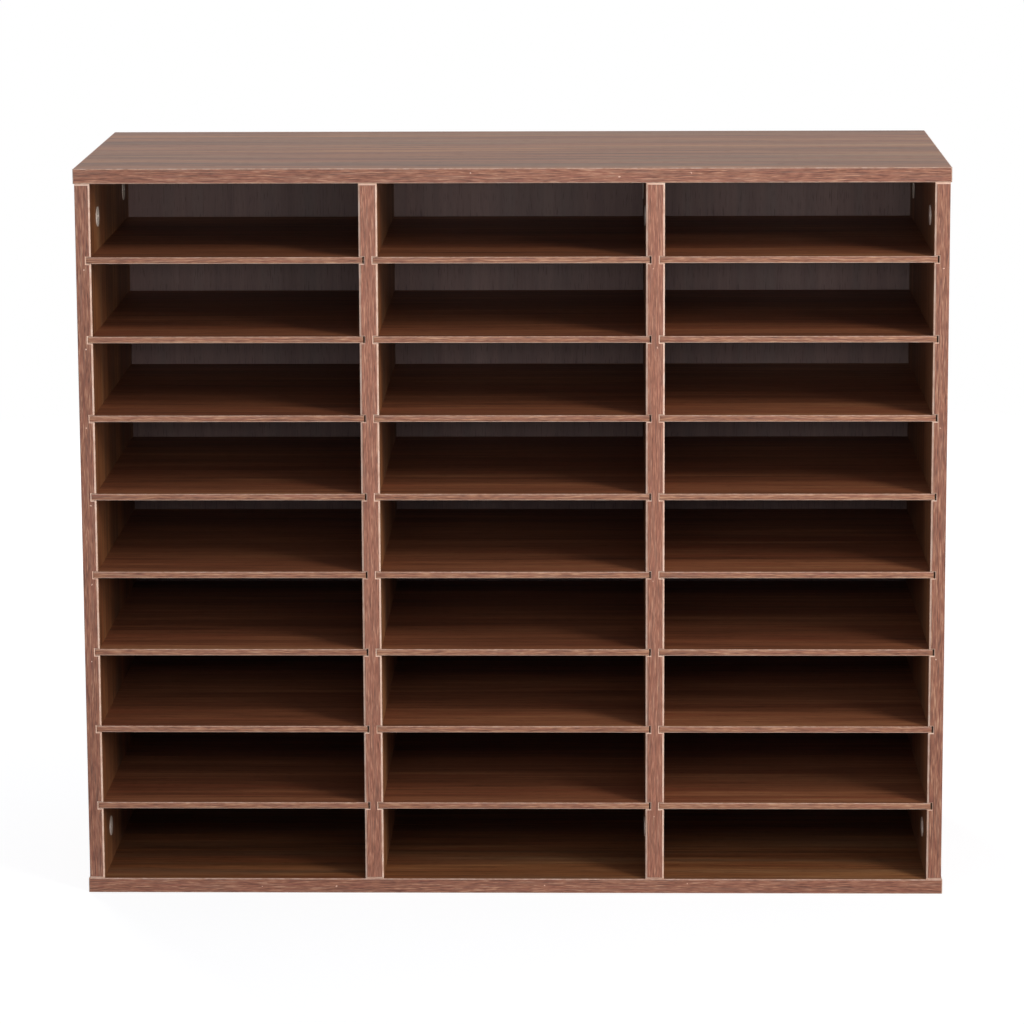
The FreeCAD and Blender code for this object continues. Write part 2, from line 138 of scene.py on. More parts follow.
def printedWalnut(name, grainAxis, look):
    # Melamine paper foil or edge band printed with walnut grain: bands of brown, finer dark and light
    # streaks along the grain, greyer and redder stretches, short embossed pores, and a satin sheen.
    material, tree, output, place = newMaterial(name)

    def grain(length, width, detail, wander, shift=0.0):  # cloudy noise drawn out along the grain
        scale = [1 / (width * mm)] * 3
        scale[grainAxis] = 1 / (length * mm)
        stretched = addNode(tree, "ShaderNodeMapping",
                            {"Scale": scale, "Location": (shift, 2 * shift, 3 * shift)}, {"Vector": place})
        noise = addNode(tree, "ShaderNodeTexNoise", {"Scale": 1.0, "Detail": detail, "Distortion": wander},
                        {"Vector": stretched.outputs["Vector"]})
        return noise.outputs["Fac"]

    tone = None
    for length, width, detail, wander, share in look["layers"].values():
        links = {"Value": grain(length, width, detail, wander)}
        if tone:
            links["Value_002"] = tone
        added = addNode(tree, "ShaderNodeMath",
                        {"operation": "MULTIPLY_ADD", "Value_001": share, "Value_002": 0.0}, links)
        tone = added.outputs["Value"]
    colour = addNode(tree, "ShaderNodeValToRGB", {"stops": look["tones"]}, {"Fac": tone}).outputs["Color"]

    for order, (length, width, low, high, tint, strength) in enumerate(look["tints"].values(), 1):
        streaks = grain(length, width, look["tintDetail"], look["tintWander"], look["tintShift"] * order)
        amount = addNode(tree, "ShaderNodeMapRange", {"From Min": low, "From Max": high, "To Max": strength},
                         {"Value": streaks})
        tinted = addNode(tree, "ShaderNodeMix", {"data_type": "RGBA", "B_Color": linear(tint)},
                         {"Factor_Float": amount.outputs["Result"], "A_Color": colour})
        colour = socketOf(tinted.outputs, "Result_Color")

    pores = addNode(tree, "ShaderNodeMapRange",
                    {"From Min": look["poreStart"], "From Max": look["poreFull"]},
                    {"Value": grain(look["poreLength"], look["poreWidth"], 1.0, 0.0)})
    poreShare = addNode(tree, "ShaderNodeMath", {"operation": "MULTIPLY", "Value_001": look["poreShare"]},
                        {"Value": pores.outputs["Result"]})
    printed = addNode(tree, "ShaderNodeMix", {"data_type": "RGBA", "B_Color": linear(look["poreTone"])},
                      {"Factor_Float": poreShare.outputs["Value"], "A_Color": colour})
    roughness = addNode(tree, "ShaderNodeMapRange",
                        {"To Min": look["roughness"], "To Max": look["roughness"] + look["poreDullness"]},
                        {"Value": pores.outputs["Result"]})
    embossed = addNode(tree, "ShaderNodeBump",
                       {"invert": True, "Strength": look["poreEmboss"], "Distance": look["poreDepth"] * mm},
                       {"Height": pores.outputs["Result"]})
    lacquer = addNode(tree, "ShaderNodeBsdfPrincipled", {"IOR": 1.5},
                      {"Base Color": socketOf(printed.outputs, "Result_Color"),
                       "Roughness": roughness.outputs["Result"], "Normal": embossed.outputs["Normal"]})
    tree.links.new(lacquer.outputs["BSDF"], output.inputs["Surface"])
    return material


# The shelves get a brighter, warmer copy of the walnut print than the decks and uprights; the extra
# brightness is painted light on the shelf floors.
shelfPrintWithPaintedLight = dict(
    foilPrint,
    tones=[(0.36, "#5a321f"), (0.46, "#7d4a30"), (0.54, "#935b3c"), (0.66, "#b37a53")],
    tints={"red": (300, 11, 0.52, 0.70, "#8c462e", 0.4)},
)

# The edge bands are paler and pinker than the foil, with finer streaks.
bandPrint = dict(
    foilPrint,
    layers={
        "figure": (220, 8, 2.0, 0.2, 0.12),
        "streak": (24, 1.2, 3.0, 0.3, 0.42),
        "fibre": (10, 0.8, 2.0, 0.1, 0.46),
    },
    tones=[(0.36, "#643b2c"), (0.46, "#905b46"), (0.54, "#ab7156"), (0.66, "#d4a384")],
    tints={
        "grey": (42, 1.5, 0.50, 0.66, "#8f7161", 0.32),
        "red": (34, 1.4, 0.53, 0.68, "#a76050", 0.35),
    },
    poreLength=8,
    poreWidth=0.8,
    poreTone="#653e30",
    roughness=0.48,
)

# The dividers' wider band is off a slightly paler roll.
wideBandPrint = dict(
    bandPrint,
    tones=[(0.36, "#7e4f3d"), (0.46, "#9f664f"), (0.54, "#b6775d"), (0.66, "#dba485")],
)

# The shelves' narrow band is browner.
shelfBandPrint = dict(
    bandPrint,
    tones=[(0.36, "#6b4230"), (0.46, "#98634a"), (0.54, "#b37a5a"), (0.66, "#dcac88")],
)

# The back sheet has a cheaper, greyer print than the boards.
backPrint = dict(
    foilPrint,
    tones=[(0.34, "#765b55"), (0.46, "#7f635d"), (0.54, "#856861"), (0.66, "#8d716a")],
    tints={"grey": (480, 19, 0.48, 0.66, "#756863", 0.3)},
    poreTone="#48332f",
)

particleBoardLook = {
    "chip": 2.6,  # a wood chip's usual length in the middle of the board
    "fines": 0.7,
    "finesShare": 0.45,
    "tones": [(0.0, "#7f5f40"), (0.35, "#a98560"), (0.7, "#c3a178"), (1.0, "#d9be98")],
    "resin": "#5b412b",
    "resinStart": 0.55,  # in chip lengths from a chip's middle, as the next is
    "resinFull": 0.8,
    "resinShare": 0.7,
    "chipDepth": 0.15,
    "tearing": 0.7,
}


def particleBoard(name, look):
    # Raw particle board, sawn: pale wood chips of mixed tones in darker resin, dry and rough.
    material, tree, output, place = newMaterial(name)
    chips = addNode(tree, "ShaderNodeTexVoronoi", {"Scale": 1 / (look["chip"] * mm), "Randomness": 1.0},
                    {"Vector": place})
    fines = addNode(tree, "ShaderNodeTexNoise", {"Scale": 1 / (look["fines"] * mm), "Detail": 3.0},
                    {"Vector": place})
    chipTone = addNode(tree, "ShaderNodeSeparateColor", None, {"Color": chips.outputs["Color"]})
    mixed = addNode(tree, "ShaderNodeMix", {"data_type": "FLOAT", "Factor_Float": look["finesShare"]},
                    {"A_Float": chipTone.outputs["Red"], "B_Float": fines.outputs["Fac"]})
    chipColour = addNode(tree, "ShaderNodeValToRGB", {"stops": look["tones"]},
                         {"Fac": socketOf(mixed.outputs, "Result_Float")})
    resin = addNode(tree, "ShaderNodeMapRange",
                    {"From Min": look["resinStart"], "From Max": look["resinFull"],
                     "To Max": look["resinShare"]}, {"Value": chips.outputs["Distance"]})
    sawn = addNode(tree, "ShaderNodeMix", {"data_type": "RGBA", "B_Color": linear(look["resin"])},
                   {"Factor_Float": resin.outputs["Result"], "A_Color": chipColour.outputs["Color"]})
    torn = addNode(tree, "ShaderNodeBump",
                   {"Strength": look["tearing"], "Distance": look["chipDepth"] * mm},
                   {"Height": socketOf(mixed.outputs, "Result_Float")})
    wood = addNode(tree, "ShaderNodeBsdfPrincipled", {"Roughness": 0.88, "IOR": 1.45},
                   {"Base Color": socketOf(sawn.outputs, "Result_Color"), "Normal": torn.outputs["Normal"]})
    tree.links.new(wood.outputs["BSDF"], output.inputs["Surface"])
    return material


# Where a cutter trimmed a band its pale core is bare; a scraped arris only shows it in part, and its paler
# tone also paints in a highlight along the rounded arris.
cutEdgeLook = {
    "patch": 9,
    "grit": 0.9,
    "gritDepth": 0.05,
    "tones": [(0.25, "#d5a68c"), (0.5, "#f3cab0"), (0.75, "#fbdec8")],
}
scrapedArrisAndHighlightLook = dict(cutEdgeLook, patch=5, tones=[(0.3, "#b48973"), (0.5, "#caa38d"), (0.7, "#dcbca8")])


def bareBandCore(name, look):
    # The core of a printed edge band, bared by a trimming cutter: beige, uneven and dull.
    material, tree, output, place = newMaterial(name)
    patches = addNode(tree, "ShaderNodeTexNoise", {"Scale": 1 / (look["patch"] * mm), "Detail": 4.0},
                      {"Vector": place})
    grit = addNode(tree, "ShaderNodeTexNoise", {"Scale": 1 / (look["grit"] * mm), "Detail": 2.0},
                   {"Vector": place})
    colour = addNode(tree, "ShaderNodeValToRGB", {"stops": look["tones"]}, {"Fac": patches.outputs["Fac"]})
    rough = addNode(tree, "ShaderNodeBump", {"Strength": 0.4, "Distance": look["gritDepth"] * mm},
                    {"Height": grit.outputs["Fac"]})
    core = addNode(tree, "ShaderNodeBsdfPrincipled", {"Roughness": 0.6, "IOR": 1.45},
                   {"Base Color": colour.outputs["Color"], "Normal": rough.outputs["Normal"]})
    tree.links.new(core.outputs["BSDF"], output.inputs["Surface"])
    return material


hardboardLook = {
    "blotch": 22,
    "fibre": 1.8,
    "fibreShare": 0.7,
    "tones": [(0.36, "#74532f"), (0.5, "#92704a"), (0.64, "#ad8b63")],
    "meshPitch": 2.4,  # the press screen's real mesh is about 1.2 mm; drawn coarser so that it shows
    "meshDepth": 0.06,
    "waveLength": 0.314,  # of a wave texture at scale 1
}
sawnFibreLook = dict(
    hardboardLook,
    tones=[(0.3, "#94704c"), (0.5, "#aa855d"), (0.7, "#bd9a70")],
    meshDepth=0.01,
)


def feltedFibre(name, look):
    # Pressed wood fibre. On hardboard's back the press screen left a fine mesh print on brown felted
    # fibre; a sawn edge is paler and plain.
    material, tree, output, place = newMaterial(name)
    blotches = addNode(tree, "ShaderNodeTexNoise", {"Scale": 1 / (look["blotch"] * mm), "Detail": 5.0},
                       {"Vector": place})
    fibres = addNode(tree, "ShaderNodeTexNoise",
                     {"Scale": 1 / (look["fibre"] * mm), "Detail": 4.0, "Distortion": 1.5},
                     {"Vector": place})
    mixed = addNode(tree, "ShaderNodeMix", {"data_type": "FLOAT", "Factor_Float": look["fibreShare"]},
                    {"A_Float": blotches.outputs["Fac"], "B_Float": fibres.outputs["Fac"]})
    colour = addNode(tree, "ShaderNodeValToRGB", {"stops": look["tones"]},
                     {"Fac": socketOf(mixed.outputs, "Result_Float")})
    wires = []
    for direction in ("X", "Z"):
        wire = addNode(tree, "ShaderNodeTexWave",
                       {"bands_direction": direction, "Distortion": 0.3,
                        "Scale": 1 / (look["meshPitch"] * mm) * look["waveLength"]}, {"Vector": place})
        wires.append(wire.outputs["Fac"])
    screen = addNode(tree, "ShaderNodeMath", {"operation": "MULTIPLY"},
                     {"Value": wires[0], "Value_001": wires[1]})
    relief = addNode(tree, "ShaderNodeBump", {"Strength": 0.6, "Distance": look["meshDepth"] * mm},
                     {"Height": screen.outputs["Value"]})
    felt = addNode(tree, "ShaderNodeBsdfPrincipled", {"Roughness": 0.82, "IOR": 1.45},
                   {"Base Color": colour.outputs["Color"], "Normal": relief.outputs["Normal"]})
    tree.links.new(felt.outputs["BSDF"], output.inputs["Surface"])
    return material


# Tumbling leaves die-cast zinc frosted, so much of its light is scattered as a paint would.
castZincLook = {
    "grain": 0.8,
    "tones": [(0.3, "#e6d6c6"), (0.7, "#faeddd")],
    "roughness": (0.52, 0.72),
    "metallic": 0.15,
}
platedSteelLook = {
    "grain": 0.5,
    "tones": [(0.3, "#a9a8a0"), (0.7, "#d4d3cb")],
    "roughness": (0.18, 0.38),
    "metallic": 1.0,
}


def greyMetal(name, look):
    # Die-cast zinc, or turned steel with a thin zinc plating: a slightly cloudy, dulled shine.
    material, tree, output, place = newMaterial(name)
    clouds = addNode(tree, "ShaderNodeTexNoise", {"Scale": 1 / (look["grain"] * mm), "Detail": 4.0},
                     {"Vector": place})
    colour = addNode(tree, "ShaderNodeValToRGB", {"stops": look["tones"]}, {"Fac": clouds.outputs["Fac"]})
    smoothest, roughest = look["roughness"]
    dull = addNode(tree, "ShaderNodeMapRange", {"To Min": smoothest, "To Max": roughest},
                   {"Value": clouds.outputs["Fac"]})
    metal = addNode(tree, "ShaderNodeBsdfPrincipled", {"Metallic": look["metallic"]},
                    {"Base Color": colour.outputs["Color"], "Roughness": dull.outputs["Result"]})
    tree.links.new(metal.outputs["BSDF"], output.inputs["Surface"])
    return material


beechLook = {
    "fleckLength": 3.5,
    "fleckWidth": 0.5,
    "tones": [(0.35, "#b58a5c"), (0.55, "#cfa877"), (0.7, "#ddbb8e")],
}


def beech(name, look):
    # Bare turned beech: pale tan wood with short darker flecks along the dowel, dry and matt.
    material, tree, output, place = newMaterial(name)
    across, along = 1 / (look["fleckWidth"] * mm), 1 / (look["fleckLength"] * mm)
    stretched = addNode(tree, "ShaderNodeMapping", {"Scale": (across, across, along)}, {"Vector": place})
    flecks = addNode(tree, "ShaderNodeTexNoise", {"Scale": 1.0, "Detail": 3.0},
                     {"Vector": stretched.outputs["Vector"]})
    colour = addNode(tree, "ShaderNodeValToRGB", {"stops": look["tones"]}, {"Fac": flecks.outputs["Fac"]})
    wood = addNode(tree, "ShaderNodeBsdfPrincipled", {"Roughness": 0.7, "IOR": 1.45},
                   {"Base Color": colour.outputs["Color"]})
    tree.links.new(wood.outputs["BSDF"], output.inputs["Surface"])
    return material


foilLengthwise = printedWalnut("walnut_foil_lengthwise", 0, foilPrint)
foilUpright = printedWalnut("walnut_foil_upright", 2, foilPrint)
# the shelves' foil is a brighter copy of the print: painted light on the shelf floors
foilShelfWithPaintedLight = printedWalnut("walnut_foil_on_shelves_with_painted_light", 0, shelfPrintWithPaintedLight)
foilBack = printedWalnut("walnut_foil_on_hardboard", 2, backPrint)
bandLengthwise = printedWalnut("walnut_band_lengthwise", 0, bandPrint)
bandShelf = printedWalnut("walnut_band_on_shelves", 0, shelfBandPrint)
bandEndwise = printedWalnut("walnut_band_endwise", 1, bandPrint)
bandUpright = printedWalnut("walnut_band_upright", 2, bandPrint)
wideBandUpright = printedWalnut("walnut_wide_band_upright", 2, wideBandPrint)
rawBoard = particleBoard("raw_particle_board", particleBoardLook)
rawFibre = feltedFibre("sawn_fibreboard", sawnFibreLook)
bareBack = feltedFibre("bare_hardboard", hardboardLook)
cutEdge = bareBandCore("cut_band_edge", cutEdgeLook)
# the scraped arris tone is partly bared band core and partly a painted highlight
scrapedArrisAndHighlight = bareBandCore("scraped_band_arris_and_painted_highlight", scrapedArrisAndHighlightLook)
camMetal = greyMetal("cast_zinc", castZincLook)
boltMetal = greyMetal("zinc_plated_steel", platedSteelLook)
dowelWood = beech("bare_beech", beechLook)
print("finishes made")

meshRules = {
    "weldGap": 0.002,
    "flatAngle": 0.6,  # degrees, as the next is
    "sharpAngle": 40,
    "samePlace": 0.02,
    "facing": 0.9,  # a face looks along an axis if its normal has this much of it
}


def mergeFlat(shape):  # makes one face of those that lie in one plane
    bmesh.ops.dissolve_limit(shape, angle_limit=math.radians(meshRules["flatAngle"]), verts=shape.verts,
                             edges=shape.edges)


def ownShape(nodeName):  # a node's shape, its loose triangles welded into whole faces
    shape = bmesh.new()
    shape.from_mesh(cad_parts[nodeName].data)
    bmesh.ops.remove_doubles(shape, verts=shape.verts, dist=meshRules["weldGap"] * mm)
    mergeFlat(shape)
    return shape


def near(a, b):
    return abs(a - b) < meshRules["samePlace"] * mm


def sharpEdges(shape, test):  # the sharp edges whose middle passes the test
    limit = math.radians(meshRules["sharpAngle"])
    sharp = [edge for edge in shape.edges if edge.calc_face_angle(0.0) > limit]
    return [edge for edge in sharp if test((edge.verts[0].co + edge.verts[1].co) / 2)]


def bevel(shape, edges, size, steps, materialIndex=-1):
    bmesh.ops.bevel(shape, geom=edges, offset=size * mm, segments=steps, profile=0.5, affect="EDGES",
                    material=materialIndex)


def meshFrom(shape, name, materials):
    mesh = bpy.data.meshes.new(name)
    shape.to_mesh(mesh)
    shape.free()
    for material in materials:
        mesh.materials.append(material)
    return mesh


def setPiece(mesh, body, nodeName=None):  # makes a finished mesh a piece, for a node or by itself
    piece = bpy.data.objects.new(mesh.name, mesh)
    scene.collection.objects.link(piece)
    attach(piece, body)
    if nodeName:
        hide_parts(nodeName)


def finishedName(nodeName):
    return nodeName + "_finished"


boardFinish = {"arris": 0.25}


def makeBoard(nodeName, foil, faceAxis):  # foil on the two broad faces, raw board at every cut
    low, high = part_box(nodeName)

    def onSkin(place):
        return near(place[faceAxis], low[faceAxis]) or near(place[faceAxis], high[faceAxis])

    shape = ownShape(nodeName)
    rear = sharpEdges(shape, lambda middle: near(middle.y, high.y) and onSkin(middle))
    bevel(shape, rear, boardFinish["arris"], 1)
    for face in shape.faces:
        isFoiled = onSkin(face.calc_center_median()) and abs(face.normal[faceAxis]) > meshRules["facing"]
        face.material_index = 0 if isFoiled else 1
    setPiece(meshFrom(shape, finishedName(nodeName), [foil, rawBoard]), "cabinet", nodeName)


bandFinish = {
    "chamferReach": 0.6,  # a little more than the plain chamfer that is taken off first
    "deckArris": 0.8,
    "deckSteps": 3,
    "cut": 0.7,  # how far a cutter took the uprights' bands back
    "cutWidth": 1.4,  # how wide the cut shows along the pigeonholes and at the ends
    "ease": 0.5,  # rounding of the cabinet's two outer upright edges
    "easeSteps": 2,
}


def squareOff(shape, axis, plane):  # takes the plain chamfer off a band's face, for a finer finish
    for vert in shape.verts:
        if abs(vert.co[axis] - plane) < bandFinish["chamferReach"] * mm:
            vert.co[axis] = plane
    shape.normal_update()
    mergeFlat(shape)


def makeDeckBand(node, axis, planes, isOuter, band):  # scraped and rounded along the outer edges, whose paler tone is partly bared core and partly a painted highlight
    shape = ownShape(node)
    for plane in planes:
        squareOff(shape, axis, plane)
    bevel(shape, sharpEdges(shape, isOuter), bandFinish["deckArris"], bandFinish["deckSteps"], 1)
    setPiece(meshFrom(shape, finishedName(node), [band, scrapedArrisAndHighlight]), "cabinet", node)


def makeDeckBands(deck):  # one along the front, and one on each end, which are one node
    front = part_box(f"{deck}_front_band")[0].y
    makeDeckBand(f"{deck}_front_band", 1, [front], lambda middle: near(middle.y, front), bandLengthwise)
    low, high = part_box(f"{deck}_end_bands")
    makeDeckBand(f"{deck}_end_bands", 0, [low.x, high.x],
                 lambda middle: near(abs(middle.x), high.x) and not near(middle.y, low.y), bandEndwise)


def makeUprightBand(upright):  # cut back to its pale core along the pigeonholes, grooves and ends
    node = f"{upright}_front_band"
    low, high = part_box(node)
    shape = ownShape(node)
    squareOff(shape, 1, low.y)
    outerX = {"left_side": low.x, "right_side": high.x}.get(upright)

    def isOuter(place):
        return outerX is not None and near(place.x, outerX)

    bevel(shape, sharpEdges(shape, lambda middle: near(middle.y, low.y) and not isOuter(middle)),
          bandFinish["cut"], 1, 1)
    widening = (bandFinish["cutWidth"] - bandFinish["cut"]) * mm
    for vert in shape.verts:
        for axis in (0, 2):
            if near(vert.co.y, low.y) and near(vert.co[axis] - low[axis], bandFinish["cut"] * mm):
                vert.co[axis] += widening
            elif near(vert.co.y, low.y) and near(high[axis] - vert.co[axis], bandFinish["cut"] * mm):
                vert.co[axis] -= widening
    bevel(shape, sharpEdges(shape, lambda middle: near(middle.y, low.y) and isOuter(middle)),
          bandFinish["ease"], bandFinish["easeSteps"], 0)
    for face in shape.faces:
        if abs(face.normal.y) < 1 - meshRules["facing"] and not isOuter(face.calc_center_median()):
            face.material_index = 1
    frontPrint = bandUpright if "side" in upright else wideBandUpright
    setPiece(meshFrom(shape, finishedName(node), [frontPrint, cutEdge]), "cabinet", node)


for deck in decks:
    makeBoard(f"{deck}_panel", foilLengthwise, 2)
    makeDeckBands(deck)
for upright in uprights:
    makeBoard(upright, foilUpright, 0)
    makeUprightBand(upright)
print("decks and uprights made")


def makeBackPanel():  # foil towards the pigeonholes, bare hardboard behind
    shape = ownShape("back_panel")
    for face in shape.faces:
        face.material_index = 0 if face.normal.y < -meshRules["facing"] else 1
    setPiece(meshFrom(shape, finishedName("back_panel"), [foilBack, bareBack]), "cabinet",
             "back_panel")


makeBackPanel()
print("back panel made")


def newTree(name, inputs):  # a node tree with these named inputs and one geometry output
    tree = bpy.data.node_groups.new(name, "GeometryNodeTree")
    for inputName, kind in inputs.items():
        tree.interface.new_socket(name=inputName, in_out="INPUT", socket_type="NodeSocket" + kind)
    tree.interface.new_socket(name="Geometry", in_out="OUTPUT", socket_type="NodeSocketGeometry")
    source = addNode(tree, "NodeGroupInput").outputs
    return tree, source


def grow(tree, values, name, start=None):  # runs a tree, on the start mesh if it has one, into a plain mesh
    holder = bpy.data.objects.new(name, start or bpy.data.meshes.new(name + "_start"))
    scene.collection.objects.link(holder)
    modifier = holder.modifiers.new("make", "NODES")
    modifier.node_group = tree
    for item in tree.interface.items_tree:
        if item.in_out == "INPUT" and item.name in values:
            modifier[item.identifier] = values[item.name]
    evaluated = holder.evaluated_get(bpy.context.evaluated_depsgraph_get())
    mesh = bpy.data.meshes.new_from_object(evaluated)
    holder.modifiers.clear()
    bpy.data.objects.remove(holder)
    mesh.name = name
    return mesh


shelfFinish = {
    "bandThickness": 1.0,
    "arris": 0.6,
    "arrisSteps": 2,
    "arrisSlant": 0.15,  # an arris is each face whose normal has this much of Y and of Z
}


def shelfTree():  # a thin board with a front band, scraped round above, where the paler tone is partly a painted highlight, and cut back to its core below
    tree, source = newTree("shelf", {
        "Low Corner": "Vector", "High Corner": "Vector", "Band Thickness": "Float",
        "Arris Radius": "Float", "Arris Steps": "Int", "Arris Slant": "Float", "Foil": "Material",
        "Raw Edge": "Material", "Band": "Material", "Upper Arris": "Material", "Lower Arris": "Material"})
    low, high, band = source["Low Corner"], source["High Corner"], source["Band Thickness"]
    size = addNode(tree, "ShaderNodeVectorMath", {"operation": "SUBTRACT"},
                   {"Vector": high, "Vector_001": low})
    total = addNode(tree, "ShaderNodeVectorMath", {"operation": "ADD"}, {"Vector": high, "Vector_001": low})
    middle = addNode(tree, "ShaderNodeVectorMath", {"operation": "SCALE", "Scale": 0.5},
                     {"Vector": total.outputs[0]})
    bandDepth = addNode(tree, "ShaderNodeCombineXYZ", None, {"Y": band})
    halfBand = addNode(tree, "ShaderNodeVectorMath", {"operation": "SCALE", "Scale": 0.5},
                       {"Vector": bandDepth.outputs[0]})
    boardSize = addNode(tree, "ShaderNodeVectorMath", {"operation": "SUBTRACT"},
                        {"Vector": size.outputs[0], "Vector_001": bandDepth.outputs[0]})
    boardMiddle = addNode(tree, "ShaderNodeVectorMath", {"operation": "ADD"},
                          {"Vector": middle.outputs[0], "Vector_001": halfBand.outputs[0]})
    cube = addNode(tree, "GeometryNodeMeshCube", None, {"Size": boardSize.outputs[0]})
    board = addNode(tree, "GeometryNodeTransform", None,
                    {"Geometry": cube.outputs["Mesh"], "Translation": boardMiddle.outputs[0]})
    normal = addNode(tree, "GeometryNodeInputNormal")
    facing = addNode(tree, "ShaderNodeSeparateXYZ", None, {"Vector": normal.outputs[0]})
    upness = addNode(tree, "ShaderNodeMath", {"operation": "ABSOLUTE"}, {"Value": facing.outputs["Z"]})
    frontness = addNode(tree, "ShaderNodeMath", {"operation": "ABSOLUTE"}, {"Value": facing.outputs["Y"]})
    isEdge = addNode(tree, "FunctionNodeCompare", {"operation": "LESS_THAN", "B": 0.5},
                     {"A": upness.outputs[0]})  # what faces neither up nor down
    foiled = addNode(tree, "GeometryNodeSetMaterial", None,
                     {"Geometry": board.outputs[0], "Material": source["Foil"]})
    sawn = addNode(tree, "GeometryNodeSetMaterial", None,
                   {"Geometry": foiled.outputs[0], "Selection": isEdge.outputs[0],
                    "Material": source["Raw Edge"]})

    lowPart = addNode(tree, "ShaderNodeSeparateXYZ", None, {"Vector": low})
    highPart = addNode(tree, "ShaderNodeSeparateXYZ", None, {"Vector": high})
    middlePart = addNode(tree, "ShaderNodeSeparateXYZ", None, {"Vector": middle.outputs[0]})
    bandY = addNode(tree, "ShaderNodeMath", {"operation": "MULTIPLY_ADD", "Value_001": 0.5},
                    {"Value": band, "Value_002": lowPart.outputs["Y"]})
    ends = [addNode(tree, "ShaderNodeCombineXYZ", None,
                    {"X": part.outputs["X"], "Y": bandY.outputs[0], "Z": middlePart.outputs["Z"]})
            for part in (lowPart, highPart)]
    path = addNode(tree, "GeometryNodeCurvePrimitiveLine", None,
                   {"Start": ends[0].outputs[0], "End": ends[1].outputs[0]})
    sizePart = addNode(tree, "ShaderNodeSeparateXYZ", None, {"Vector": size.outputs[0]})
    section = addNode(tree, "GeometryNodeCurvePrimitiveQuadrilateral", None,
                      {"Width": band, "Height": sizePart.outputs["Z"]})
    eased = addNode(tree, "GeometryNodeFilletCurve", {"mode": "POLY", "Limit Radius": True},
                    {"Curve": section.outputs[0], "Count": source["Arris Steps"],
                     "Radius": source["Arris Radius"]})
    strip = addNode(tree, "GeometryNodeCurveToMesh", {"Fill Caps": True},
                    {"Curve": path.outputs[0], "Profile Curve": eased.outputs[0]})
    banded = addNode(tree, "GeometryNodeSetMaterial", None,
                     {"Geometry": strip.outputs[0], "Material": source["Band"]})
    joined = addNode(tree, "GeometryNodeJoinGeometry")
    tree.links.new(banded.outputs[0], joined.inputs[0])
    tree.links.new(sawn.outputs[0], joined.inputs[0])
    real = addNode(tree, "GeometryNodeRealizeInstances", None, {"Geometry": joined.outputs[0]})

    slant = addNode(tree, "ShaderNodeMath", {"operation": "MINIMUM"},
                    {"Value": upness.outputs[0], "Value_001": frontness.outputs[0]})
    isArris = addNode(tree, "FunctionNodeCompare", {"operation": "GREATER_THAN"},
                      {"A": slant.outputs[0], "B": source["Arris Slant"]})
    looksDown = addNode(tree, "FunctionNodeCompare", {"operation": "LESS_THAN", "B": 0.0},
                        {"A": facing.outputs["Z"]})
    isLower = addNode(tree, "FunctionNodeBooleanMath", {"operation": "AND"},
                      {"Boolean": isArris.outputs[0], "Boolean_001": looksDown.outputs[0]})
    # the upper arris gets the scraped tone, partly bared core and partly a painted highlight
    scraped = addNode(tree, "GeometryNodeSetMaterial", None,
                      {"Geometry": real.outputs[0], "Selection": isArris.outputs[0],
                       "Material": source["Upper Arris"]})
    bared = addNode(tree, "GeometryNodeSetMaterial", None,
                    {"Geometry": scraped.outputs[0], "Selection": isLower.outputs[0],
                     "Material": source["Lower Arris"]})
    addNode(tree, "NodeGroupOutput", None, {"Geometry": bared.outputs[0]})
    return tree


shelfMaker = shelfTree()
for shelf in shelfNodes:
    low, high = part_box(shelf)
    mesh = grow(shelfMaker, {
        "Low Corner": low, "High Corner": high, "Band Thickness": shelfFinish["bandThickness"] * mm,
        "Arris Radius": shelfFinish["arris"] * mm, "Arris Steps": shelfFinish["arrisSteps"],
        "Arris Slant": shelfFinish["arrisSlant"], "Foil": foilShelfWithPaintedLight, "Raw Edge": rawFibre,
        "Band": bandShelf, "Upper Arris": scrapedArrisAndHighlight, "Lower Arris": cutEdge}, finishedName(shelf))
    setPiece(mesh, shelf, shelf)
print("shelves made:", len(shelfNodes))

nickFinish = {
    "share": 0.3,  # how many of the places have one
    "seed": 11,
    "below": 4.5,  # under the shelf's lower face
    "deckPitch": 62,
    "spread": (2.2, 0, 2.5),
    "radius": 0.8,
    "topShare": 0.7,  # of the radius
    "sides": 7,
    "thickness": 0.1,
    "leastStretch": (0.5, 0.4, 1.0),
    "mostStretch": (1.4, 0.9, 1.0),
}


